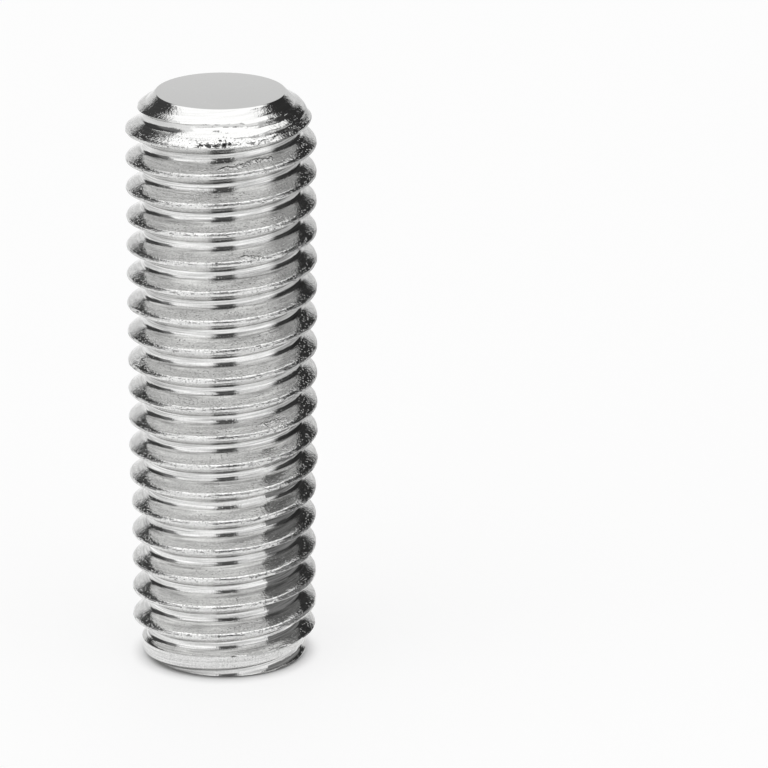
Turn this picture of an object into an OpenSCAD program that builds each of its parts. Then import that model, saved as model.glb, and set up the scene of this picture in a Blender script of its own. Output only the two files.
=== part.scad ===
// Socket set screw (grub screw) with a flat point, one piece of rolled and forged steel.
// It stands on its socket end. The origin is the centre of the socket-end face,
// and +Z runs along the axis to the flat point. All lengths are in millimetres.

/* [Thread] */
// Nominal diameter of the thread
thread_d = 8; // [7:0.1:9.6]
// How far the real crest stays inside the nominal size, on the radius
crest_allowance = 0.065; // [0:0.005:0.12]
// Distance along the axis from one crest to the next
pitch = 1.25; // [1:0.05:1.5]
// Angle between the two flanks of a groove
flank_angle = 60; // [50:1:70]
// Width of the flat on the crest
crest_flat = 0.156; // [0.1:0.002:0.22]
// Radius of the rounded bottom of the groove
root_radius = 0.18; // [0.12:0.005:0.22]
// Height at which the first whole crest passes the +X side
first_crest = 1.235; // [0.6:0.005:1.5]
// How much slimmer the thread is over the hollow socket end, on the radius
hollow_shrink = 0.08; // [0:0.01:0.12]

/* [Length] */
// Overall length, 25 nominal
screw_len = 24.6; // [18:0.1:29.5]

/* [Flat point] */
// Diameter of the flat face at the point
point_d = 5.5; // [4.6:0.1:6.6]
// Slope of the point's chamfer, up from the end face
point_slope = 45; // [35:1:55]

/* [Socket end] */
// Width of the flat ring that the screw stands on
rim_w = 0.3; // [0.2:0.05:0.45]
// Slope of the outer chamfer, up from the end face
rim_slope = 45; // [35:1:55]

/* [Hexagon socket] */
// Width of the key's hexagon across its flats
key_w = 4; // [3.4:0.1:4.4]
// Play between the key and the socket, over the whole width
key_play = 0.04; // [0:0.01:0.1]
// Depth of the socket from the end face
socket_depth = 7; // [5:0.1:8.5]
// How far the mouth's countersink reaches past the hexagon's corners
mouth_reach = 0.42; // [0.2:0.02:0.5]
// Slope of the countersink, in from the end face
mouth_slope = 30; // [20:1:45]
// How far the punch's blunt nose cuts off the corners of the floor
nose_cut = 0.2; // [0.1:0.02:0.3]

/* [Fineness] */
// Steps in one turn of the thread
turn_steps = 32; // [24:4:32]
// Steps across the rounded bottom of the groove
root_steps = 3; // [2:1:3]

/* [Hidden] */
steel = [0.72, 0.72, 0.71];
// How far a cutter or a blank stands clear of the surface that it trims
clear = 0.5;

// Radii of the thread and the two ends
crest_r = thread_d / 2 - crest_allowance;
blank_r = crest_r + clear;
point_r = point_d / 2;
socket_w = key_w + key_play;
corner_r = socket_w / 2 / cos(30);
mouth_r = corner_r + mouth_reach;
rim_r = mouth_r + rim_w;

// The groove: its middle height, the angle that its rounded bottom turns to each side,
// and the radius at the bottom, which follows from flanks that run on into the round
groove_mid = (pitch + crest_flat) / 2;
root_turn = 90 - flank_angle / 2;
flank_rise = groove_mid - crest_flat - root_radius * sin(root_turn);
flank_depth = flank_rise / tan(flank_angle / 2);
root_r = crest_r - flank_depth - root_radius * (1 - cos(root_turn));

// The helix runs on past both ends, where the blank trims it
helix_foot = first_crest - crest_flat / 2 - pitch * (ceil(first_crest / pitch) + 1);
turns = ceil((screw_len + crest_flat - helix_foot) / pitch);
last_step = turns * turn_steps;

// One pitch of the outline as [height, radius]: the crest, then the rounded groove bottom.
// The flanks are the straight runs between them and up to the next crest.
outline = concat(
    [[0, crest_r], [crest_flat, crest_r]],
    [for (i = [0 : root_steps])
        let (turn = root_turn * (2 * i / root_steps - 1))
        [groove_mid + root_radius * sin(turn), root_r + root_radius * (1 - cos(turn))]]
);
row = len(outline);

// Share of the hollow end's shrink at a height: whole over the socket, none a pitch above it
function shrink_share(z) = min(1, max(0, (socket_depth + pitch - z) / pitch));

// A point of the outline, carried round the axis and up the helix
function on_helix(step, p) =
    let (
        turn = 360 * step / turn_steps,
        z = helix_foot + pitch * step / turn_steps + p[0],
        r = p[1] - hollow_shrink * shrink_share(z)
    )
    [r * cos(turn), r * sin(turn), z];

// Number of an outline point in the helix's list. The point after the outline's last one
// is the next turn's first, and the last turn closes on a row of single points.
function at(step, k) =
    k < row ? step * row + k
    : step + turn_steps <= last_step ? (step + turn_steps) * row
    : (last_step + 1) * row + step + turn_steps - last_step - 1;

// Endless thread: one pitch of outline swept up a right-hand helix and capped at both ends
module helix_rod() {
    swept = [for (step = [0 : last_step]) for (p = outline) on_helix(step, p)];
    last_crest = [for (step = [last_step + 1 : last_step + turn_steps]) on_helix(step, outline[0])];
    foot = len(swept) + len(last_crest);
    top = foot + 1;
    top_z = helix_foot + pitch * (turns + 1);
    sides = [
        for (step = [0 : last_step - 1])
            for (k = [0 : row - 1])
                let (a = at(step, k), b = at(step, k + 1), c = at(step + 1, k + 1), d = at(step + 1, k))
                each [[a, b, c], [a, c, d]]
    ];
    foot_cap = concat(
        [for (step = [0 : turn_steps - 1]) [foot, at(step, 0), at(step + 1, 0)]],
        [for (k = [0 : row - 1]) [foot, at(0, k + 1), at(0, k)]]
    );
    top_cap = concat(
        [for (step = [last_step - turn_steps : last_step - 1]) [top, at(step + 1, row), at(step, row)]],
        [for (k = [0 : row - 1]) [top, at(last_step, k), at(last_step, k + 1)]]
    );
    polyhedron(
        points = concat(swept, last_crest, [[0, 0, helix_foot], [0, 0, top_z]]),
        faces = concat(sides, foot_cap, top_cap),
        convexity = 10
    );
}

// Turned blank: the flat ring, the two chamfers and the flat point. It is wider than the
// thread, so that only its ends trim it.
module blank() {
    rotate_extrude($fn = 96)
        polygon([
            [0, 0],
            [rim_r, 0],
            [blank_r, (blank_r - rim_r) * tan(rim_slope)],
            [blank_r, screw_len - (blank_r - point_r) * tan(point_slope)],
            [point_r, screw_len],
            [0, screw_len]
        ]);
}

// What the forging punch takes out: a hexagon whose nose is cut back at its corners
module key_hole() {
    intersection() {
        translate([0, 0, -clear])
            cylinder(r = corner_r, h = socket_depth + clear, $fn = 6);
        rotate_extrude($fn = 96)
            polygon([
                [0, -2 * clear],
                [corner_r + clear, -2 * clear],
                [corner_r + clear, socket_depth - nose_cut - clear],
                [corner_r - nose_cut, socket_depth],
                [0, socket_depth]
            ]);
    }
}

// Countersink round the socket's mouth, which lets the key find the hexagon
module mouth() {
    rotate_extrude($fn = 96)
        polygon([
            [0, -clear],
            [mouth_r + clear / tan(mouth_slope), -clear],
            [0, mouth_r * tan(mouth_slope)]
        ]);
}

module set_screw() {
    color(steel)
        difference() {
            intersection() {
                helix_rod();
                blank();
            }
            key_hole();
            mouth();
        }
}

set_screw();
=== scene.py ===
"""A bright stainless steel grub screw with a flat point, standing on its socket end.

The screw is modelled as one piece of metal: the outline of one thread groove is drawn point by
point, swept up a right-hand helix, trimmed and chamfered at both ends, sunk with a hexagon socket
and given the small folds, nicks and dents that thread rolling and a parts bin leave on it.
"""

from __future__ import annotations

import logging
import math
from dataclasses import dataclass, field
from enum import Enum

import bpy
import numpy as np
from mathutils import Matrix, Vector, noise


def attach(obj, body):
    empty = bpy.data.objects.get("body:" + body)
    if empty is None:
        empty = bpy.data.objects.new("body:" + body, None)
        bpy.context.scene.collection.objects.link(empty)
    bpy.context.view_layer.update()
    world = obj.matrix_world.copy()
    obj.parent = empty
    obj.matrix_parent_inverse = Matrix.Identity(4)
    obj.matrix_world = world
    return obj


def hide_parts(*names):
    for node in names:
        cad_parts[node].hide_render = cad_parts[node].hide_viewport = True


LOG = logging.getLogger("grub_screw")
MM = 0.001
NODE = "set_screw"
BODY = "root"
PITCH = 1.25  # of the thread, in millimetres
LEVEL = (1.0, 1.0, 0.0)  # what leaves only the level part of a vector
RISING = (0.0, 1.0)
FALLING = (1.0, 0.0)

Socket = bpy.types.NodeSocket
Point = tuple[float, float, float]

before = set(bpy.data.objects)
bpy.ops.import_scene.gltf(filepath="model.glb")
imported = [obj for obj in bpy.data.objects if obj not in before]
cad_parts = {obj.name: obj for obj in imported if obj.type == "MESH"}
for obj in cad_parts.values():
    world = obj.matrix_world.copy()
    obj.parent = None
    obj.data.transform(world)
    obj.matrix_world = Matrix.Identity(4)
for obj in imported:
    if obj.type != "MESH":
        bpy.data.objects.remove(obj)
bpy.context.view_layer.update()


class Side(Enum):
    """Which side of a cutting plane is thrown away."""

    BELOW = "below"
    ABOVE = "above"


class Bench:
    """The modelling operations that every part of the screw shares."""

    @staticmethod
    def clear_selection() -> None:
        """Leave edit mode and deselect every object."""
        if bpy.context.object and bpy.context.object.mode != "OBJECT":
            bpy.ops.object.mode_set(mode="OBJECT")
        bpy.ops.object.select_all(action="DESELECT")

    @staticmethod
    def pick(piece: bpy.types.Object) -> None:
        """Make one object the only selected and active one.

        Args:
            piece: The object to select.
        """
        Bench.clear_selection()
        piece.select_set(True)
        bpy.context.view_layer.objects.active = piece

    @staticmethod
    def edit(piece: bpy.types.Object) -> None:
        """Enter edit mode on one object, with all of its mesh selected.

        Args:
            piece: The object to edit.
        """
        Bench.pick(piece)
        bpy.ops.object.mode_set(mode="EDIT")
        bpy.ops.mesh.select_all(action="SELECT")

    @staticmethod
    def apply(piece: bpy.types.Object, modifier: bpy.types.Modifier) -> None:
        """Apply one modifier to its object.

        Args:
            piece: The object that carries the modifier.
            modifier: The modifier to apply.
        """
        Bench.pick(piece)
        bpy.ops.object.modifier_apply(modifier=modifier.name)

    @staticmethod
    def polyline(name: str, points: list[tuple[float, float]]) -> bpy.types.Object:
        """Draw an open line in the XZ plane by extruding one vertex from point to point.

        Args:
            name: Name of the new object.
            points: Radius and height of each point, in millimetres.

        Returns:
            The object that holds the line.
        """
        Bench.clear_selection()
        radius, height = points[0]
        bpy.ops.mesh.primitive_plane_add(size=MM, location=(0.0, 0.0, 0.0))
        line = bpy.context.object
        line.name = name
        bpy.ops.object.mode_set(mode="EDIT")
        bpy.ops.mesh.select_all(action="SELECT")
        bpy.ops.mesh.merge(type="CENTER")
        bpy.ops.transform.translate(value=(radius * MM, 0.0, height * MM))
        for (r0, z0), (r1, z1) in zip(points, points[1:]):
            step = ((r1 - r0) * MM, 0.0, (z1 - z0) * MM)
            bpy.ops.mesh.extrude_region_move(TRANSFORM_OT_translate={"value": step})
        bpy.ops.object.mode_set(mode="OBJECT")
        return line

    @staticmethod
    def cut(piece: bpy.types.Object, height: float, side: Side) -> None:
        """Cut a piece across at a height and leave the new edge loop selected.

        Args:
            piece: The object to cut.
            height: Height of the cut, in millimetres.
            side: The side that is thrown away.
        """
        Bench.edit(piece)
        bpy.ops.mesh.bisect(
            plane_co=(0.0, 0.0, height * MM),
            plane_no=(0.0, 0.0, 1.0),
            clear_inner=side is Side.BELOW,
            clear_outer=side is Side.ABOVE,
            threshold=1e-8,
        )

    @staticmethod
    def ring(scale: float, rise: float, height: float) -> None:
        """Extrude the selected edge loop into a new ring about the axis.

        Args:
            scale: New radius over the old one.
            rise: How far the ring moves up, in millimetres.
            height: Height of the loop before the move, in millimetres.
        """
        bpy.ops.mesh.extrude_edges_move(TRANSFORM_OT_translate={"value": (0.0, 0.0, rise * MM)})
        bpy.ops.transform.resize(
            value=(scale, scale, 1.0), center_override=(0.0, 0.0, (height + rise) * MM)
        )

    @staticmethod
    def subtract(piece: bpy.types.Object) -> None:
        """Cut the active object, a closed shape, out of a piece and throw it away.

        Args:
            piece: The object that is cut.
        """
        tool = bpy.context.object
        bpy.ops.object.transform_apply(location=True, rotation=True, scale=True)
        cut = piece.modifiers.new("cut", "BOOLEAN")
        cut.operation = "DIFFERENCE"
        cut.solver = "EXACT"
        cut.object = tool
        Bench.apply(piece, cut)
        bpy.data.objects.remove(tool, do_unlink=True)


@dataclass(frozen=True)
class Flank:
    """One side of a groove, in millimetres: the round at its crest and the fillet at its root.

    It also has the number of straight runs that each part of it is drawn with.
    """

    crest_round: float
    crest_runs: int
    flank_runs: int
    fillet: float
    fillet_runs: int


@dataclass(frozen=True)
class ThreadForm:
    """Outline of one groove of the rolled thread, in millimetres and degrees."""

    crest_r: float = 3.925
    depth: float = 0.715
    slope: float = 28.5
    crest_top: float = -0.024
    crest_foot: float = 0.0475
    seam_depth: float = 0.003
    first_crest: float = 1.108
    facing_up: Flank = Flank(0.18, 8, 6, 0.295, 8)
    facing_down: Flank = Flank(0.06, 4, 4, 0.08, 4)

    def arc(self, radius: float, runs: int) -> list[tuple[float, float]]:
        """Points of an arc that turns from the vertical to the flank.

        Args:
            radius: Radius of the arc.
            runs: Number of straight runs that it is drawn with.

        Returns:
            Pairs of height along the arc and drop below its vertical end.
        """
        turn = math.radians(90.0 - self.slope)
        angles = [turn * i / runs for i in range(runs + 1)]
        return [(radius * math.sin(a), radius * (1.0 - math.cos(a))) for a in angles]

    def side(self, flank: Flank, start: float, way: float) -> list[tuple[float, float]]:
        """Points of one side of the groove, from the crest to the bottom.

        Args:
            flank: The side's form.
            start: Height at which it leaves the crest.
            way: 1 to go up from there, -1 to go down.

        Returns:
            Radius and height of each point.
        """
        rise = math.tan(math.radians(self.slope))
        bottom = self.crest_r - self.depth
        line = [(self.crest_r - drop, start + way * z)
                for z, drop in self.arc(flank.crest_round, flank.crest_runs)]
        radius, height = line[-1]
        root = self.arc(flank.fillet, flank.fillet_runs)[::-1]
        tall, drop = root[0]
        run = radius - bottom - drop
        for i in range(1, flank.flank_runs):
            part = run * i / flank.flank_runs
            line.append((radius - part, height + way * part * rise))
        end = height + way * run * rise
        line += [(bottom + drop, end + way * (tall - z)) for z, drop in root]
        return line

    def points(self) -> list[tuple[float, float]]:
        """Radius and height of one pitch of the outline, from a crest's middle to the next.

        Returns:
            The points, of which the last is the first one a pitch higher.
        """
        middle = (self.crest_top - self.crest_foot) / 2
        seam = self.crest_r - self.seam_depth
        above = self.side(self.facing_up, self.crest_top, 1.0)
        below = self.side(self.facing_down, PITCH - self.crest_foot, -1.0)
        return [(seam, middle), *above, *below[::-1], (seam, PITCH + middle)]


@dataclass(frozen=True)
class Dent:
    """One knock in the thread, with its half sizes, in degrees round the screw and millimetres."""

    turn: float
    height: float
    spread: float
    tall: float
    depth: float


@dataclass(frozen=True)
class Fold:
    """The fold of the point's chamfer over the last groove, and its rough skin, in millimetres.

    The turns, in degrees from the front, are where each of them opens, is full, closes and ends.
    """

    turns: tuple[float, float, float, float] = (-42.0, -10.0, 70.0, 96.0)
    sag: float = 0.05
    sag_over: float = 1.2
    rough_turns: tuple[float, float, float, float] = (-40.0, 0.0, 72.0, 96.0)
    rough_height: float = 23.75
    rough_tall: float = 0.42
    rough_depth: float = 0.05


@dataclass(frozen=True)
class Screw:
    """The whole screw, in millimetres, with its socket end at height 0.

    The point's form is pairs of depth below the end face and radius, and the foot's form is
    pairs of height and radius. The rings of both say how far out and up from the edge of the end
    face the cut edge lies, and each ring after it.
    """

    form: ThreadForm = field(default_factory=ThreadForm)
    length: float = 24.53
    point_r: float = 2.666
    point_form: tuple[tuple[float, float], ...] = (
        (-1.0, 1.666), (0.0, 2.666), (0.41, 3.08), (0.5, 3.32), (0.68, 3.48), (0.98, 3.62),
        (1.28, 3.95), (3.0, 5.7),
    )
    point_rings: tuple[tuple[float, float], ...] = (
        (0.05, -0.05), (0.018, -0.017), (-0.006, -0.003), (-0.03, 0.0),
    )
    rim_r: float = 3.26
    foot_form: tuple[tuple[float, float], ...] = (
        (-1.0, 2.26), (0.0, 3.26), (0.1, 3.37), (0.3, 3.46), (1.0, 3.5), (1.12, 3.62),
        (1.28, 3.95), (3.0, 6.0),
    )
    foot_rings: tuple[tuple[float, float], ...] = (
        (0.065, 0.05), (0.025, 0.02), (0.0, 0.004), (-0.03, 0.0),
    )
    form_soft: float = 0.03
    steps: int = 128
    weld: float = 0.002
    hollow_shrink: float = 0.075
    socket_w: float = 4.04
    socket_depth: float = 7.0
    socket_clear: float = 1.0
    mouth_r: float = 2.75
    mouth_slope: float = 30.0
    mouth_clear: float = 0.5
    mouth_steps: int = 128
    smooth_angle: float = 32.0
    wear_from: float = 3.72
    wear_over: float = 0.12
    wear_depth: float = 0.012
    wear_scale: float = 1.7
    rough_scale: Point = (2.6, 2.6, 9.0)
    dent_base: float = 0.75
    dent_rough: float = 1.2
    fold: Fold = field(default_factory=Fold)
    dents: tuple[Dent, ...] = (
        Dent(-72.0, 13.06, 7.0, 0.12, 0.07),
        Dent(-62.0, 15.58, 4.0, 0.10, 0.06),
        Dent(51.0, 12.23, 4.0, 0.12, 0.05),
        Dent(47.0, 13.47, 3.0, 0.08, 0.04),
        Dent(-6.0, 14.56, 3.5, 0.05, 0.04),
        Dent(58.0, 18.50, 3.0, 0.09, 0.04),
        Dent(3.0, 23.31, 9.0, 0.07, 0.07),
        Dent(-1.0, 24.08, 9.0, 0.035, 0.03),
        Dent(19.0, 24.37, 9.0, 0.03, 0.02),
    )

    def sweep(self) -> bpy.types.Object:
        """Sweep the groove's outline up the helix.

        Returns:
            The open rod of thread, a turn longer than the screw at each end.
        """
        start = self.form.first_crest - 2 * PITCH
        line = Bench.polyline(NODE + "_body", [(r, z + start) for r, z in self.form.points()])
        screw = line.modifiers.new("helix", "SCREW")
        screw.axis = "Z"
        screw.angle = math.tau
        screw.steps = screw.render_steps = self.steps
        screw.iterations = math.ceil((self.length - start) / PITCH) + 1
        screw.screw_offset = PITCH * MM
        screw.use_smooth_shade = True
        Bench.apply(line, screw)
        Bench.edit(line)
        bpy.ops.mesh.remove_doubles(threshold=self.weld * MM)
        bpy.ops.object.mode_set(mode="OBJECT")
        return line

    def form_ends(self, rod: bpy.types.Object) -> None:
        """Press the thread back to the two chamfers and slim it over the hollow end.

        Args:
            rod: The swept thread, whose vertices are moved.
        """
        count = len(rod.data.vertices)
        flat = np.empty(count * 3)
        rod.data.vertices.foreach_get("co", flat)
        co = flat.reshape(-1, 3) / MM
        radius = np.hypot(co[:, 0], co[:, 1])
        height = co[:, 2]
        over = np.clip((self.socket_depth + PITCH - height) / PITCH, 0, 1)
        new = radius - self.hollow_shrink * over * over * (3 - 2 * over)
        tip = np.interp(self.length - height, *zip(*self.point_form))
        foot = np.interp(height, *zip(*self.foot_form))
        for limit in (tip, foot):
            blend = np.clip(self.form_soft - np.abs(new - limit), 0, None) / self.form_soft
            new = np.minimum(new, limit) - blend * blend * self.form_soft / 4
        turn = np.degrees(np.arctan2(co[:, 0], -co[:, 1]))
        new = self.fill_groove(turn, height, new)
        new -= self.wear(co, turn, new)
        co[:, :2] *= (new / radius)[:, None]
        rod.data.vertices.foreach_set("co", (co * MM).ravel())
        rod.data.update()

    def fill_groove(self, turn: np.ndarray, height: np.ndarray, radius: np.ndarray) -> np.ndarray:
        """Fold the point's chamfer over the last groove, where the thread runs out of it.

        Args:
            turn: How far round each point is, in degrees from the front.
            height: Height of each point.
            radius: Radius of each point after the ends are pressed.

        Returns:
            The radii with the groove filled to the chamfer.
        """
        count = math.floor((self.length - self.form.first_crest) / PITCH)
        crest = self.form.first_crest + PITCH * (count + (turn - 90.0) / 360.0)
        share = np.interp(turn, self.fold.turns, (0, 1, 1, 0))
        share *= share * (3 - 2 * share) * (height > crest)
        under = np.maximum(self.length - height, 0)
        sag = self.fold.sag * np.sin(np.clip(under / self.fold.sag_over, 0, 1) * math.pi)
        return radius + share * np.maximum(self.point_r + under - sag - radius, 0)

    def wear(self, co: np.ndarray, turn: np.ndarray, radius: np.ndarray) -> np.ndarray:
        """Depth of the folds, dents and worn crests at each point of the thread.

        Args:
            co: The points.
            turn: How far round each point is, in degrees from the front.
            radius: Radius of each point after the ends are pressed.

        Returns:
            How far each point moves in towards the axis.
        """
        height = co[:, 2]
        crest = np.clip((radius - self.wear_from) / self.wear_over, 0, 1)
        worn = np.array([noise.noise(Vector(point) * self.wear_scale) for point in co])
        fine = np.array([noise.noise(Vector(point)) for point in co * self.rough_scale])
        depth = crest * self.wear_depth * (worn + fine)
        fold = self.fold
        skin = np.exp(-((height - fold.rough_height) / fold.rough_tall) ** 2)
        skin *= np.interp(turn, fold.rough_turns, (0, 1, 1, 0))
        depth += skin * fold.rough_depth * fine
        for dent in self.dents:
            near = ((turn - dent.turn) / dent.spread) ** 2 + ((height - dent.height) / dent.tall) ** 2
            depth += dent.depth * np.exp(-near) * (self.dent_base + self.dent_rough * fine)
        return depth

    def close_ends(self, rod: bpy.types.Object) -> None:
        """Trim both ends, round their rims, close them and turn all faces outward.

        Args:
            rod: The open thread.
        """
        for side, edge_r, edge_z, rings in (
                (Side.ABOVE, self.point_r, self.length, self.point_rings),
                (Side.BELOW, self.rim_r, 0.0, self.foot_rings)):
            (radius, height), *others = [(edge_r + out, edge_z + up) for out, up in rings]
            Bench.cut(rod, height, side)
            for r, z in others:
                Bench.ring(r / radius, z - height, height)
                radius, height = r, z
            bpy.ops.mesh.edge_face_add()
            bpy.ops.object.mode_set(mode="OBJECT")
        Bench.edit(rod)
        bpy.ops.mesh.normals_make_consistent(inside=False)
        bpy.ops.object.mode_set(mode="OBJECT")

    def sink_socket(self, rod: bpy.types.Object) -> None:
        """Sink the hexagon socket and its countersunk mouth into the lower end.

        Args:
            rod: The closed body that is cut.
        """
        side = math.radians(30.0)
        Bench.clear_selection()
        bpy.ops.mesh.primitive_cylinder_add(
            vertices=6,
            radius=self.socket_w / 2 / math.cos(side) * MM,
            depth=(self.socket_depth + self.socket_clear) * MM,
            location=(0.0, 0.0, (self.socket_depth - self.socket_clear) / 2 * MM),
            rotation=(0.0, 0.0, side),
        )
        Bench.subtract(rod)
        deep = self.mouth_r * math.tan(math.radians(self.mouth_slope))
        tall = deep + self.mouth_clear
        Bench.clear_selection()
        bpy.ops.mesh.primitive_cone_add(
            vertices=self.mouth_steps,
            radius1=self.mouth_r * tall / deep * MM,
            radius2=0.0,
            depth=tall * MM,
            location=(0.0, 0.0, (tall / 2 - self.mouth_clear) * MM),
        )
        Bench.subtract(rod)

    def build(self) -> bpy.types.Object:
        """Build the screw's body.

        Returns:
            The finished piece.
        """
        rod = self.sweep()
        self.form_ends(rod)
        self.close_ends(rod)
        self.sink_socket(rod)
        Bench.pick(rod)
        bpy.ops.object.shade_smooth_by_angle(angle=math.radians(self.smooth_angle))
        return rod


class Wiring:
    """Short ways to place nodes in one shader tree.

    Where a method takes a value, it may be an output socket, which is linked, or a constant.
    """

    def __init__(self, tree: bpy.types.NodeTree) -> None:
        """Keep the tree.

        Args:
            tree: The tree that the nodes go in.
        """
        self.tree = tree

    def node(self, kind: str, **settings: object) -> bpy.types.Node:
        """Add a node.

        Args:
            kind: The node's type name without its prefix.
            settings: Properties to set on it.

        Returns:
            The new node.
        """
        new = self.tree.nodes.new("ShaderNode" + kind)
        for name, value in settings.items():
            setattr(new, name, value)
        return new

    def feed(self, node: bpy.types.Node, fed: dict[object, object]) -> bpy.types.Node:
        """Feed the inputs of a node.

        Args:
            node: The node.
            fed: Its inputs, by name or number, and what each gets.

        Returns:
            The same node.
        """
        for name, value in fed.items():
            socket = node.inputs[name]
            if isinstance(value, Socket):
                self.tree.links.new(value, socket)
            else:
                socket.default_value = value
        return node

    def math(self, operation: str, *values: object) -> Socket:
        """Add a Math node.

        Args:
            operation: Its operation.
            values: What its inputs get.

        Returns:
            Its output.
        """
        return self.feed(self.node("Math", operation=operation), dict(enumerate(values))).outputs[0]

    def product(self, first: object, *more: object) -> Socket:
        """Multiply values.

        Args:
            first: The first value.
            more: The others.

        Returns:
            Their product.
        """
        for value in more:
            first = self.math("MULTIPLY", first, value)
        return first

    def total(self, start: object, *terms: tuple[object, float]) -> Socket:
        """Add up weighted values.

        Args:
            start: What they are added to.
            terms: Each value and its weight.

        Returns:
            Their sum.
        """
        for value, weight in terms:
            start = self.math("MULTIPLY_ADD", value, weight, start)
        return start

    def vector(self, operation: str, *values: object, out: str = "Vector") -> Socket:
        """Add a Vector Math node.

        Args:
            operation: Its operation.
            values: What its inputs get.
            out: Name of the output to return.

        Returns:
            The named output.
        """
        new = self.node("VectorMath", operation=operation)
        return self.feed(new, dict(enumerate(values))).outputs[out]

    def scale(self, vector: object, factor: object) -> Socket:
        """Scale a vector.

        Args:
            vector: The vector.
            factor: How many times longer it gets.

        Returns:
            The scaled vector.
        """
        new = self.node("VectorMath", operation="SCALE")
        return self.feed(new, {0: vector, "Scale": factor}).outputs[0]

    def split(self, vector: object) -> tuple[Socket, Socket, Socket]:
        """Take a vector apart.

        Args:
            vector: The vector.

        Returns:
            Its X, Y and Z.
        """
        return tuple(self.feed(self.node("SeparateXYZ"), {0: vector}).outputs)

    def join(self, *parts: object) -> Socket:
        """Put a vector together.

        Args:
            parts: Its X, Y and Z.

        Returns:
            The vector.
        """
        return self.feed(self.node("CombineXYZ"), dict(enumerate(parts))).outputs[0]

    def noise(self, place: object, scale: object, detail: float = 2.0,
              roughness: float = 0.5) -> Socket:
        """Add a noise.

        Args:
            place: Where it is read.
            scale: How fine it is.
            detail: How many finer layers it has.
            roughness: How strong each finer layer is.

        Returns:
            The noise, from 0 to 1.
        """
        new = self.node("TexNoise", noise_dimensions="3D")
        return self.feed(new, {"Vector": place, "Scale": scale, "Detail": detail,
                               "Roughness": roughness}).outputs[0]

    def remap(self, value: object, low: float, high: float, first: float, last: float,
              smooth: bool = True) -> Socket:
        """Add a Map Range node.

        Args:
            value: The value that is mapped.
            low: Input that gives the first result.
            high: Input that gives the last result.
            first: Result at and before the low input.
            last: Result at and beyond the high input.
            smooth: True for a smooth step, False for a straight one.

        Returns:
            Its result.
        """
        new = self.node("MapRange", clamp=True)
        if smooth:
            new.interpolation_type = "SMOOTHSTEP"
        return self.feed(new, {"Value": value, "From Min": low, "From Max": high, "To Min": first,
                               "To Max": last}).outputs["Result"]

    def mix(self, share: object, first: object, last: object) -> Socket:
        """Mix two values.

        Args:
            share: How much of the last one there is.
            first: The value at share 0.
            last: The value at share 1.

        Returns:
            The mixed value.
        """
        return self.feed(self.node("Mix", data_type="FLOAT"), {0: share, 2: first, 3: last}).outputs[0]

    def reach(self, place: object) -> Socket:
        """Measure how far a place is from the screw's axis.

        Args:
            place: The place.

        Returns:
            The distance.
        """
        return self.vector("LENGTH", self.vector("MULTIPLY", place, LEVEL), out="Value")


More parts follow.
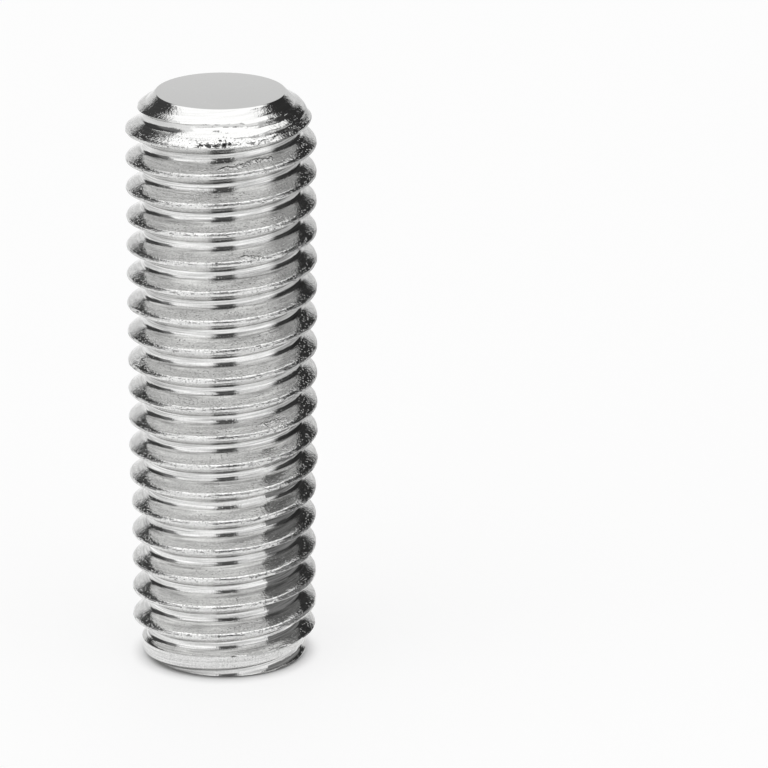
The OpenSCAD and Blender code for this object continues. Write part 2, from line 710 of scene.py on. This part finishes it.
class Effects:
    """Shader node groups that put rolling marks, grain and nicks on bare metal.

    The spans at the top are in millimetres. A look fades in or out between the two values.
    """

    GROOVE_EDGE = (3.32, 3.46)  # radius
    FLANK_EDGE = (3.3, 3.4)  # radius
    CREST_EDGE = (3.45, 3.6)  # radius
    RIM_EDGE = (3.45, 3.8)  # radius
    ROOT_OVER = (0.0, 0.3)  # radius over the groove's bottom
    LAND_OVER = (0.46, 0.54)  # radius over the groove's bottom
    CONE_RISE = (-1.1, -0.7)  # height over the point's end face
    SKIN_RISE = (-0.9, -0.6)  # height over the point's end face
    FACE_RISE = (-0.04, 0.02)  # height over the point's end face
    SEAM_HALF = 0.6  # half the width over which the two ways round the screw are mixed

    @staticmethod
    def group(name: str, inputs: dict[str, float], outputs: tuple[str, ...]) -> tuple[
            Wiring, Socket, dict[str, Socket], bpy.types.Node]:
        """Start a node group.

        Args:
            name: Name of the group.
            inputs: Its value inputs and their defaults.
            outputs: Its value outputs.

        Returns:
            The group's wiring, the place on the screw in millimetres, what it is given by name,
            and its output node.
        """
        tree = bpy.data.node_groups.new(name, "ShaderNodeTree")
        for label, value in inputs.items():
            socket = tree.interface.new_socket(label, in_out="INPUT", socket_type="NodeSocketFloat")
            socket.default_value = value
        for label in outputs:
            tree.interface.new_socket(label, in_out="OUTPUT", socket_type="NodeSocketFloat")
        wires = Wiring(tree)
        entry = tree.nodes.new("NodeGroupInput")
        leave = tree.nodes.new("NodeGroupOutput")
        place = wires.scale(wires.node("TexCoord").outputs["Object"], 1.0 / MM)
        return wires, place, {label: entry.outputs[label] for label in inputs}, leave

    @staticmethod
    def thread_noise(wires: Wiring, place: Socket, stretch: object, detail: float,
                     roughness: float) -> tuple[Socket, Socket]:
        """Noise that runs along the thread's helix.

        A way round the screw has a seam, so there are two, each of which hides the other's seam.

        Args:
            wires: The tree that is wired.
            place: The place on the screw.
            stretch: How fine the noise is along X and Y and across the thread.
            detail: How many finer layers it has.
            roughness: How strong each finer layer is.

        Returns:
            The noise, and the way with its seam at the back, in which a crest keeps its height.
        """
        x, y, z = wires.split(place)
        ways = []
        for sign in (1.0, -1.0):
            turn = wires.math("ARCTAN2", wires.product(x, sign), wires.product(y, -sign))
            ways.append(wires.join(x, y, wires.math("MULTIPLY_ADD", turn, -PITCH / math.tau, z)))
        tones = [wires.noise(wires.vector("MULTIPLY", way, stretch), 1.0, detail, roughness)
                 for way in ways]
        half = Effects.SEAM_HALF
        return wires.mix(wires.remap(y, -half, half, *RISING), *tones), ways[0]

    @staticmethod
    def streaks() -> bpy.types.NodeTree:
        """Fine lines that the rolling dies drag along the thread.

        Returns:
            A group with the inputs Along and Across, in lines per millimetre, Flank and Groove,
            how strong the lines are on the flanks and in the groove, and End, the height of the
            turned face, and the outputs Height, round 0, and Tone, from 0 to 1.
        """
        wires, place, given, leave = Effects.group(
            "rolling_streaks",
            {"Along": 0.5, "Across": 20.0, "Flank": 0.7, "Groove": 2.0, "End": 24.5},
            ("Height", "Tone"))
        fineness = wires.join(given["Along"], given["Along"], given["Across"])
        tone, _ = Effects.thread_noise(wires, place, fineness, 2.0, 0.6)
        groove = wires.remap(wires.reach(place), *Effects.GROOVE_EDGE, *FALLING)
        rise = wires.math("SUBTRACT", wires.split(place)[2], given["End"])
        height = wires.product(
            wires.math("SUBTRACT", tone, 0.5),
            wires.mix(groove, given["Flank"], given["Groove"]),
            wires.remap(rise, *Effects.CONE_RISE, 1.0, 0.2),
            wires.remap(rise, *Effects.FACE_RISE, *FALLING))
        wires.feed(leave, {"Height": height, "Tone": tone})
        return wires.tree

    @staticmethod
    def grain() -> bpy.types.NodeTree:
        """Pebbled skin of rolled metal, which the dies press smooth down in the grooves.

        Returns:
            A group with the inputs Size, in grains per millimetre, End, the height of the
            turned face, and Root, the radius below which a groove is smooth, both in
            millimetres, and the outputs Height and Tone, which is fine and round 0.
        """
        wires, place, given, leave = Effects.group(
            "metal_grain", {"Size": 9.0, "End": 24.5, "Root": 3.32}, ("Height", "Tone"))
        rise = wires.math("SUBTRACT", wires.split(place)[2], given["End"])
        over = wires.math("SUBTRACT", wires.reach(place), given["Root"])
        skin = wires.math("MAXIMUM", wires.remap(over, *Effects.ROOT_OVER, 0.25, 1.0),
                          wires.remap(rise, *Effects.SKIN_RISE, *RISING))
        height = wires.product(wires.noise(place, given["Size"], roughness=0.6), skin,
                               wires.remap(rise, *Effects.FACE_RISE, 1.0, 0.02))
        dust = wires.noise(place, wires.product(given["Size"], 1.8), roughness=0.8)
        tone = wires.product(
            wires.math("SUBTRACT", dust, 0.5),
            wires.remap(rise, *Effects.FACE_RISE, 1.0, 0.5),
            wires.remap(rise, *Effects.CONE_RISE, 1.0, 0.3),
            wires.remap(over, *Effects.ROOT_OVER, 0.35, 1.0),
            wires.remap(over, *Effects.LAND_OVER, 1.0, 0.6))
        wires.feed(leave, {"Height": height, "Tone": tone})
        return wires.tree

    @staticmethod
    def crest_nicks() -> bpy.types.NodeTree:
        """Short nicks and burrs that sit only on the crests of the thread.

        Returns:
            A group with the inputs Crest, the height of a crest at the front, and Width, in
            millimetres, and Share, from 0 to 1, and the outputs Height, above 0 for burrs and
            below for nicks, and Dark, the painted shade that darkens the nicks and the seam fold.
        """
        wires, place, given, leave = Effects.group(
            "crest_nicks", {"Crest": 0.8155, "Width": 0.11, "Share": 0.2}, ("Height", "Dark"))
        tone, way = Effects.thread_noise(wires, place, (5.5, 5.5, 14.0), 2.0, 0.65)
        flat = wires.vector("MULTIPLY", way, LEVEL)
        rise = wires.math("SUBTRACT", wires.split(way)[2], given["Crest"])
        phase = wires.math("FRACT", wires.math("MULTIPLY_ADD", rise, 1.0 / PITCH, 0.5))
        over = wires.math("MULTIPLY_ADD", phase, PITCH, -PITCH / 2)
        crest = wires.remap(wires.reach(way), *Effects.CREST_EDGE, *RISING)
        away = wires.math("DIVIDE", wires.math("ABSOLUTE", over), given["Width"])
        band = wires.product(wires.remap(away, 0.45, 1.0, *FALLING), crest)
        many = wires.total(tone, (wires.noise(flat, 0.8), 0.4), (given["Share"], 0.7))
        chip = wires.remap(many, 0.95, 1.03, 0.0, -1.0)
        burr = wires.product(wires.math("SUBTRACT", tone, 0.5), 0.15)
        sway = wires.math("MULTIPLY_ADD", wires.noise(flat, 2.2, detail=1.0), 0.05, -0.035)
        line = wires.math("ABSOLUTE", wires.math("ADD", over, sway))
        dashes = wires.noise(wires.vector("MULTIPLY", way, (2.0, 2.0, 0.9)), 1.0, roughness=0.7)
        seam = wires.product(wires.remap(line, 0.007, 0.021, *FALLING),
                             wires.remap(dashes, 0.50, 0.57, *RISING), crest)
        marks = wires.product(wires.math("ADD", chip, burr), band)
        # painted shade: the chips and the seam fold get darker in the base colour, as if light did not
        # reach into them
        dark = wires.math("MAXIMUM", wires.product(chip, band, -0.75), wires.product(seam, 0.85))
        wires.feed(leave, {"Height": wires.math("MULTIPLY_ADD", seam, -0.4, marks), "Dark": dark})
        return wires.tree

    @staticmethod
    def cross_marks() -> bpy.types.NodeTree:
        """Fine drag marks that run across the flanks, square to the thread.

        Returns:
            A group with the inputs Fine, in marks per radian, and Top, the height in
            millimetres about which they fade out, and the output Height.
        """
        wires, place, given, leave = Effects.group(
            "cross_marks", {"Fine": 40.0, "Top": 10.0}, ("Height",))
        height = wires.split(place)[2]
        around = wires.vector("NORMALIZE", wires.vector("MULTIPLY", place, LEVEL))
        lean = wires.join(0.0, 0.0, wires.product(height, 0.8))
        spoke = wires.vector("ADD", wires.scale(around, given["Fine"]), lean)
        low = wires.remap(wires.math("SUBTRACT", height, given["Top"]), -4.0, 1.0, *FALLING)
        wires.feed(leave, {"Height": wires.product(wires.noise(spoke, 1.0), low)})
        return wires.tree

    @staticmethod
    def scratch() -> bpy.types.NodeTree:
        """One straight scratch between two points.

        Returns:
            A group with the inputs From X to To Z and Width, in millimetres, and the output
            Depth, from 0 to 1.
        """
        names = [[part + " " + axis for axis in "XYZ"] for part in ("From", "To")]
        inputs = {name: 0.0 for part in names for name in part}
        wires, place, given, leave = Effects.group("scratch", inputs | {"Width": 0.03}, ("Depth",))
        start, end = (wires.join(*(given[name] for name in part)) for part in names)
        run = wires.vector("SUBTRACT", end, start)
        away = wires.vector("SUBTRACT", place, start)
        along = wires.math("DIVIDE", wires.vector("DOT_PRODUCT", away, run, out="Value"),
                           wires.vector("DOT_PRODUCT", run, run, out="Value"))
        near = wires.scale(run, wires.remap(along, *RISING, *RISING, smooth=False))
        gap = wires.vector("LENGTH", wires.vector("SUBTRACT", away, near), out="Value")
        share = wires.math("DIVIDE", gap, given["Width"])
        wires.feed(leave, {"Depth": wires.remap(share, *RISING, *FALLING)})
        return wires.tree

    @staticmethod
    def ragged() -> bpy.types.NodeTree:
        """Ragged edges for the marks that it is given.

        Returns:
            A group with the inputs Tears and Lifts, from 0 outside a mark to 1 on its line, and
            two outputs of the same names, from 0 to 1, with the edges broken up.
        """
        spans = {"Tears": (2.05, 2.3), "Lifts": (1.75, 2.55)}
        wires, place, given, leave = Effects.group(
            "ragged_edges", {name: 0.0 for name in spans}, tuple(spans))
        rough = wires.product(wires.noise(place, 6.0, roughness=0.7), 3.0)
        for name, span in spans.items():
            deep = wires.remap(wires.math("MULTIPLY_ADD", given[name], 0.9, rough), *span, *RISING)
            inside = wires.remap(given[name], 0.05, 0.3, *RISING)
            wires.feed(leave, {name: wires.product(deep, inside)})
        return wires.tree

    @staticmethod
    def specks() -> bpy.types.NodeTree:
        """Small raised specks that glint.

        Returns:
            A group with the inputs Size, in specks per millimetre, and Share, how far they are
            there, and the output Height, from 0 to 1.
        """
        wires, place, given, leave = Effects.group(
            "raised_specks", {"Size": 10.0, "Share": 0.0}, ("Height",))
        level = wires.remap(wires.noise(place, given["Size"], roughness=0.6), 0.53, 0.68, *RISING)
        wires.feed(leave, {"Height": wires.product(level, given["Share"])})
        return wires.tree

    @staticmethod
    def patch() -> bpy.types.NodeTree:
        """A round patch about a point.

        Returns:
            A group with the inputs X, Y, Z and Radius, in millimetres, and the output Share,
            from 0 to 1.
        """
        wires, place, given, leave = Effects.group(
            "patch", {"X": 0.0, "Y": 0.0, "Z": 0.0, "Radius": 0.5}, ("Share",))
        centre = wires.join(*(given[axis] for axis in "XYZ"))
        away = wires.vector("LENGTH", wires.vector("SUBTRACT", place, centre), out="Value")
        share = wires.math("DIVIDE", away, given["Radius"])
        wires.feed(leave, {"Share": wires.remap(share, 0.4, 1.0, *FALLING)})
        return wires.tree

    @staticmethod
    def pits() -> bpy.types.NodeTree:
        """Small sparse pits, gathered in patches.

        Returns:
            A group with the inputs Size, in cells per millimetre, Spread, from 0 to 1, Rim,
            how many more there are on the outer part of the flanks, and Extra, how many more
            there are in a patch, and the output Depth, from 0 to 1.
        """
        wires, place, given, leave = Effects.group(
            "sparse_pits", {"Size": 6.0, "Spread": 0.4, "Rim": 0.15, "Extra": 0.0}, ("Depth",))
        cells = wires.node("TexVoronoi", voronoi_dimensions="3D", feature="F1")
        wires.feed(cells, {"Vector": place, "Scale": given["Size"]})
        hole = wires.remap(cells.outputs["Distance"], 0.10, 0.28, *FALLING)
        reach = wires.reach(place)
        rim = wires.product(wires.remap(reach, *Effects.RIM_EDGE, *RISING), given["Rim"])
        many = wires.total(wires.noise(place, 0.45), (rim, 1.0), (given["Extra"], 1.0),
                           (given["Spread"], 1.0))
        depth = wires.product(hole, wires.remap(many, 1.0, 1.12, *RISING),
                              wires.remap(reach, *Effects.FLANK_EDGE, 0.1, 1.0))
        wires.feed(leave, {"Depth": depth})
        return wires.tree


@dataclass(frozen=True)
class Mark:
    """One straight mark on the metal, in millimetres: its two ends and half its width."""

    start: Point
    end: Point
    width: float


SCRATCHES = (
    Mark((0.30, -3.72, 15.10), (1.10, -3.42, 14.45), 0.03),
    Mark((-2.35, -2.86, 15.85), (-1.95, -3.30, 15.50), 0.03),
    Mark((1.30, -3.40, 9.10), (2.20, -2.80, 9.55), 0.03),
)
# Torn marks on the crests: cut in with the bump, and given painted shade inside them.
SHADED_TEARS = (
    Mark((-0.80, -3.76, 23.34), (-0.30, -3.84, 23.33), 0.16),
    Mark((-0.45, -3.82, 23.37), (0.15, -3.82, 23.38), 0.22),
    Mark((-0.15, -3.78, 23.40), (0.46, -3.78, 23.37), 0.20),
    Mark((-0.10, -3.72, 23.54), (0.35, -3.68, 23.56), 0.14),
    Mark((-3.72, -1.15, 13.12), (-3.40, -1.75, 13.22), 0.16),
    Mark((-3.35, -1.55, 13.32), (-3.05, -2.05, 13.36), 0.12),
)
# Raised scrapes on the flanks: lifted with the bump, and lightened in the base colour as a painted
# highlight.
HIGHLIGHTED_LIFTS = (
    Mark((0.03, -3.63, 22.29), (0.72, -3.53, 22.34), 0.18),
    Mark((0.72, -3.53, 22.34), (1.44, -3.13, 22.47), 0.20),
    Mark((1.44, -3.13, 22.47), (2.08, -2.79, 22.50), 0.20),
    Mark((-1.20, -3.68, 21.24), (-0.70, -3.76, 21.22), 0.15),
    Mark((0.98, -3.60, 18.54), (1.75, -3.47, 18.49), 0.18),
    Mark((1.70, -3.15, 11.17), (2.63, -2.56, 11.18), 0.18),
)
PATCHES = (  # X, Y, Z and radius of each rougher patch, in millimetres
    (1.35, -3.55, 18.52, 0.60),
    (2.50, -2.85, 19.84, 0.60),
    (2.20, -2.90, 11.18, 0.70),
    (2.83, -2.60, 9.84, 0.45),
    (-0.80, -3.50, 21.15, 0.75),
    (3.23, -2.10, 7.23, 0.45),
    (-3.30, -1.40, 13.25, 0.50),
)


@dataclass(frozen=True)
class Stainless:
    """Bright rolled stainless steel. Heights and depths are in millimetres."""

    color: tuple[float, float, float, float] = (0.708, 0.708, 0.701, 1.0)
    # painted shade colour, mixed into the base colour in the crest seam, chips, tears and pits
    painted_shade_color: tuple[float, float, float, float] = (0.05, 0.05, 0.05, 1.0)
    roughness: tuple[float, float] = (0.035, 0.07)
    streak_height: float = 0.002
    broad_height: float = 0.0026
    grain_height: float = 0.0115
    mark_height: float = 0.003
    pit_depth: float = 0.034
    nick_depth: float = 0.019
    scratch_depth: float = 0.012
    lift_height: float = 0.055
    glint_height: float = 0.0165
    grain_tone: float = 1.3
    streak_tone: float = 0.9
    broad_tone: float = 0.45
    painted_highlight_tone: float = 0.41
    pit_shade: float = 0.12
    patch_pits: float = 0.4

    def effect(self, wires: Wiring, tree: bpy.types.NodeTree, **values: object) -> bpy.types.Node:
        """Place one effect in the material.

        Args:
            wires: The material's wiring.
            tree: The effect's node group.
            values: What its inputs get.

        Returns:
            The group's node.
        """
        return wires.feed(wires.node("Group", node_tree=tree), values)

    def marks(self, wires: Wiring, tree: bpy.types.NodeTree, marks: tuple[Mark, ...]) -> Socket:
        """Place straight marks in the material.

        Args:
            wires: The material's wiring.
            tree: The node group of one mark.
            marks: The marks.

        Returns:
            How deep the deepest mark is, from 0 to 1.
        """
        most = 0.0
        for mark in marks:
            placed = self.effect(wires, tree, Width=mark.width)
            for part, point in (("From ", mark.start), ("To ", mark.end)):
                wires.feed(placed, {part + axis: value for axis, value in zip("XYZ", point)})
            most = wires.math("MAXIMUM", most, placed.outputs[0])
        return most

    def build(self) -> bpy.types.Material:
        """Make the material.

        Returns:
            The finished material.
        """
        steel = bpy.data.materials.new("stainless_steel_bright")
        steel.use_nodes = True
        wires = Wiring(steel.node_tree)
        streaks, patch, scratch = Effects.streaks(), Effects.patch(), Effects.scratch()
        lines = self.effect(wires, streaks, Along=0.5, Across=20.0)
        fine = lines.outputs["Height"]
        broad = self.effect(wires, streaks, Along=0.35, Across=8.0).outputs["Height"]
        skin = self.effect(wires, Effects.grain(), Size=9.0)
        cross = self.effect(wires, Effects.cross_marks())
        crest = self.effect(wires, Effects.crest_nicks())
        rough = wires.total(0.0, *(
            (self.effect(wires, patch, X=x, Y=y, Z=z, Radius=radius).outputs[0], self.patch_pits)
            for x, y, z, radius in PATCHES))
        pits = self.effect(wires, Effects.pits(), Size=8.0, Spread=0.52, Rim=0.2,
                           Extra=rough).outputs[0]
        glints = self.effect(wires, Effects.specks(), Size=9.0,
                             Share=wires.product(rough, 1.0 / self.patch_pits)).outputs[0]
        torn = self.effect(wires, Effects.ragged(), Tears=self.marks(wires, scratch, SHADED_TEARS),
                           Lifts=self.marks(wires, scratch, HIGHLIGHTED_LIFTS))
        height = wires.total(
            0.0,
            (skin.outputs["Height"], self.grain_height),
            (cross.outputs["Height"], self.mark_height),
            (fine, self.streak_height),
            (broad, self.broad_height),
            (pits, -self.pit_depth),
            (crest.outputs["Height"], self.nick_depth),
            (self.marks(wires, scratch, SCRATCHES), -self.scratch_depth),
            (torn.outputs["Tears"], -self.nick_depth),
            (torn.outputs["Lifts"], self.lift_height),
            (glints, self.glint_height),
        )
        # painted shade: the crest seam and chips, the tears and the pits are darkened towards the
        # painted shade colour
        shade = wires.math("MAXIMUM", crest.outputs["Dark"], torn.outputs["Tears"])
        shade = wires.math("MAXIMUM", shade, wires.product(pits, self.pit_shade))
        tint = wires.feed(wires.node("Mix", data_type="RGBA"),
                          {0: shade, 6: self.color, 7: self.painted_shade_color}).outputs[2]
        # painted highlight: the raised scrapes and glinting specks are lightened in the base colour;
        # grain and streaks add the metal's own random tone
        tone = wires.total(
            1.0,
            (wires.math("MAXIMUM", glints, torn.outputs["Lifts"]), self.painted_highlight_tone),
            (skin.outputs["Tone"], self.grain_tone),
            (fine, self.streak_tone),
            (broad, self.broad_tone),
        )
        bump = wires.feed(wires.node("Bump"), {"Strength": 1.0, "Distance": MM, "Height": height})
        wires.feed(steel.node_tree.nodes["Principled BSDF"], {
            "Base Color": wires.scale(tint, tone),
            "Metallic": 1.0,
            "Roughness": wires.remap(lines.outputs["Tone"], 0.3, 0.7, *self.roughness, smooth=False),
            "Normal": bump.outputs[0],
        })
        return steel


@dataclass(frozen=True)
class Screen:
    """One soft-edged screen or softbox of the studio, in degrees round the screw.

    The turn is 0 towards the camera and grows to the right. The screens' values below are in
    the order of these fields.
    """

    turn: float
    half: float
    turn_soft: float
    low: float
    high: float
    rise_soft: float
    level: float


ROOM_SCREENS = (
    Screen(0.0, 180.0, 1.0, 49.0, 120.0, 6.0, 1.42),
    Screen(42.0, 58.0, 14.0, 22.0, 47.0, 14.0, 0.58),
    Screen(3.0, 17.0, 8.0, -60.0, 14.0, 5.0, 0.72),
    Screen(-112.0, 31.0, 6.0, 5.0, 43.0, 5.0, 0.20),
    Screen(-136.0, 32.0, 8.0, 3.0, 45.0, 4.0, 0.06),
    Screen(116.0, 36.0, 9.0, -2.0, 48.0, 5.0, 0.055),
    Screen(142.0, 26.0, 9.0, -2.0, 46.0, 5.0, 0.035),
    Screen(-177.0, 31.0, 4.0, -60.0, 18.0, 3.0, 0.79),
    Screen(180.0, 15.0, 4.0, -60.0, 30.0, 4.0, 0.755),
)
CAMERA_SIDE = Screen(3.0, 15.0, 4.0, 9.0, 49.0, 5.0, 0.10)
DEEP_CAMERA_SIDE = Screen(3.0, 18.0, 6.0, -60.0, 48.0, 5.0, 0.10)
# darker patches painted on the floor, seen only in the metal's reflections
PAINTED_FLOOR_REFLECTIONS = (
    Screen(-122.0, 38.0, 16.0, -60.0, 60.0, 6.0, 0.84),
    Screen(125.0, 46.0, 12.0, -60.0, 60.0, 6.0, 0.55),
)


@dataclass(frozen=True)
class Studio:
    """Pale floor, soft white room and the camera. Lengths are in millimetres."""

    picture_px: float = 768.0
    focus_px: float = 6500.0
    sensor: float = 36.0
    distance: float = 269.82
    elevation: float = 19.17
    aim_px: tuple[float, float] = (222.83, 374.24)
    aim_height: float = 12.265
    clip: tuple[float, float] = (0.01, 10.0)
    floor_size: float = 3.0
    floor_fade: tuple[float, float] = (18.0, 45.0)
    deep_bounce: tuple[float, float] = (1.2, 1.8)
    wall: float = 1.06
    paper: float = 0.95
    veil: float = 0.7
    # painted contact shadow: the paper darkens towards this tone in a ring round the foot, where the
    # veil also starts
    painted_shadow_from: float = 3.12
    painted_shadow_to: float = 3.5
    veil_to: float = 4.1
    painted_shadow_tone: float = 0.6
    glow: float = 1.04
    shine: float = 1.06
    white: float = 0.968
    flag_ends: tuple[tuple[float, float], tuple[float, float]] = ((6.6, -4.6), (17.0, 16.0))
    flag_height: float = 7.0
    flag_thick: float = 1.5
    flag_tone: float = 0.21

    def screen(self, wires: Wiring, way: Socket, rise: object, level: object,
               screen: Screen) -> Socket:
        """Lay one screen over the light that comes from a direction.

        Args:
            wires: The tree that is wired.
            way: The level direction, of length 1.
            rise: The height of the direction over the horizon, in degrees.
            level: The light without the screen.
            screen: The screen.

        Returns:
            The light with the screen.
        """
        turn = math.radians(screen.turn)
        centre = (math.sin(turn), -math.cos(turn), 0.0)
        along = wires.vector("DOT_PRODUCT", way, centre, out="Value")
        away = wires.product(wires.math("ARCCOSINE", along), math.degrees(1.0))
        share = wires.product(*(
            wires.remap(value, edge - soft, edge + soft, *ends) for value, edge, soft, ends in (
                (away, screen.half, screen.turn_soft, FALLING),
                (rise, screen.low, screen.rise_soft, RISING),
                (rise, screen.high, screen.rise_soft, FALLING))))
        return wires.mix(share, level, screen.level)

    def floor(self) -> None:
        """Lay the pale floor."""
        Bench.clear_selection()
        bpy.ops.mesh.primitive_plane_add(size=self.floor_size, location=(0.0, 0.0, 0.0))
        ground = bpy.context.object
        ground.name = "studio_floor"
        paper = bpy.data.materials.new("studio_paper")
        paper.use_nodes = True
        wires = Wiring(paper.node_tree)
        shader = paper.node_tree.nodes["Principled BSDF"]
        place = wires.scale(wires.node("TexCoord").outputs["Object"], 1.0 / MM)
        reach = wires.reach(place)
        way = wires.vector("NORMALIZE", wires.vector("MULTIPLY", place, LEVEL))
        near = wires.remap(reach, *self.floor_fade, *FALLING)
        # painted reflection: for glossy rays the floor is darker at the sides and, for deeper bounces,
        # in front
        level = 1.0
        for screen in PAINTED_FLOOR_REFLECTIONS:
            level = self.screen(wires, way, 0.0, level, screen)
        level = wires.mix(near, level, 1.0)
        light = wires.node("LightPath")
        deep = wires.remap(light.outputs["Glossy Depth"], *self.deep_bounce, *RISING)
        inner = wires.mix(near, self.screen(wires, way, 0.0, level, DEEP_CAMERA_SIDE), level)
        level = wires.mix(deep, level, inner)
        glossy = light.outputs["Is Glossy Ray"]
        shown = wires.mix(glossy, self.glow, wires.product(level, self.shine))
        # painted contact shadow: the paper's colour is darkened in a thin ring round the foot
        painted_shadow = wires.remap(reach, self.painted_shadow_from, self.painted_shadow_to, self.painted_shadow_tone, 1.0)
        tone = wires.product(wires.mix(glossy, 1.0, level), painted_shadow, self.paper)
        wires.feed(shader, {"Base Color": tone, "Roughness": 1.0, "Specular IOR Level": 0.0})
        glow = wires.feed(wires.node("Emission"), {"Strength": shown})
        seen = wires.math("MAXIMUM", light.outputs["Is Camera Ray"], glossy)
        clear = wires.remap(reach, self.painted_shadow_from, self.veil_to, 0.0, self.veil)
        veil = wires.feed(wires.node("MixShader"), {
            0: wires.product(seen, clear), 1: shader.outputs[0], 2: glow.outputs[0]})
        wires.feed(wires.tree.nodes["Material Output"], {"Surface": veil.outputs[0]})
        ground.data.materials.append(paper)

    def flag(self) -> None:
        """Stand a low dark card on the floor at the right, which only reflections show."""
        start, end = (Vector((*place, 0.0)) * MM for place in self.flag_ends)
        run = end - start
        Bench.clear_selection()
        bpy.ops.mesh.primitive_cube_add(
            size=1.0,
            location=(start + end) / 2 + Vector((0.0, 0.0, self.flag_height / 2 * MM)),
            rotation=(0.0, 0.0, math.atan2(run.y, run.x)),
            scale=(run.length, self.flag_thick * MM, self.flag_height * MM),
        )
        card = bpy.context.object
        card.name = "studio_flag"
        bpy.ops.object.transform_apply(location=True, rotation=True, scale=True)
        felt = bpy.data.materials.new("studio_felt")
        felt.use_nodes = True
        wires = Wiring(felt.node_tree)
        glow = wires.feed(wires.node("Emission"), {"Strength": self.flag_tone})
        wires.feed(wires.tree.nodes["Material Output"], {"Surface": glow.outputs[0]})
        card.data.materials.append(felt)
        card.visible_camera = card.visible_diffuse = card.visible_shadow = False

    def room(self) -> None:
        """Hang the screens round the screw and keep what the camera sees white."""
        world = bpy.data.worlds.new("studio_room")
        bpy.context.scene.world = world
        world.use_nodes = True
        wires = Wiring(world.node_tree)
        aim = wires.node("TexCoord").outputs["Generated"]
        rise = wires.product(wires.math("ARCSINE", wires.split(aim)[2]), math.degrees(1.0))
        way = wires.vector("NORMALIZE", wires.vector("MULTIPLY", aim, LEVEL))
        level = self.wall
        for screen in ROOM_SCREENS:
            level = self.screen(wires, way, rise, level, screen)
        light = wires.node("LightPath")
        deep = wires.remap(light.outputs["Glossy Depth"], *self.deep_bounce, *RISING)
        level = wires.mix(deep, *(self.screen(wires, way, rise, level, screen)
                                  for screen in (CAMERA_SIDE, DEEP_CAMERA_SIDE)))
        level = wires.mix(light.outputs["Is Camera Ray"], level, self.white)
        wires.feed(world.node_tree.nodes["Background"],
                   {"Color": (1.0, 1.0, 1.0, 1.0), "Strength": level})

    def camera(self) -> None:
        """Place the camera at the photograph's viewing angle."""
        pitch = math.radians(self.elevation)
        forward = Vector((0.0, math.cos(pitch), -math.sin(pitch)))
        right = Vector((1.0, 0.0, 0.0))
        u, v = ((px - self.picture_px / 2) / self.focus_px for px in self.aim_px)
        ray = forward + right * u - right.cross(forward) * v
        data = bpy.data.cameras.new("photo_camera")
        data.lens = self.focus_px / self.picture_px * self.sensor
        data.sensor_width = self.sensor
        data.clip_start, data.clip_end = self.clip
        view = bpy.data.objects.new("photo_camera", data)
        bpy.context.scene.collection.objects.link(view)
        view.location = (Vector((0.0, 0.0, self.aim_height)) - ray * self.distance) * MM
        view.rotation_mode = "QUATERNION"
        view.rotation_quaternion = forward.to_track_quat("-Z", "Y")
        bpy.context.scene.camera = view

    def build(self) -> None:
        """Build the whole studio."""
        self.floor()
        self.flag()
        self.room()
        self.camera()
        bpy.context.scene.view_settings.view_transform = "Standard"


def main() -> None:
    """Build the screw and its studio and report the pieces."""
    logging.basicConfig(level=logging.INFO, format="%(name)s: %(message)s")
    body = Screw().build()
    body.data.materials.clear()
    body.data.materials.append(Stainless().build())
    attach(body, BODY)
    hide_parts(NODE)
    LOG.info("%s: %d faces", body.name, len(body.data.polygons))
    Studio().build()


if __name__ == "__main__":
    main()
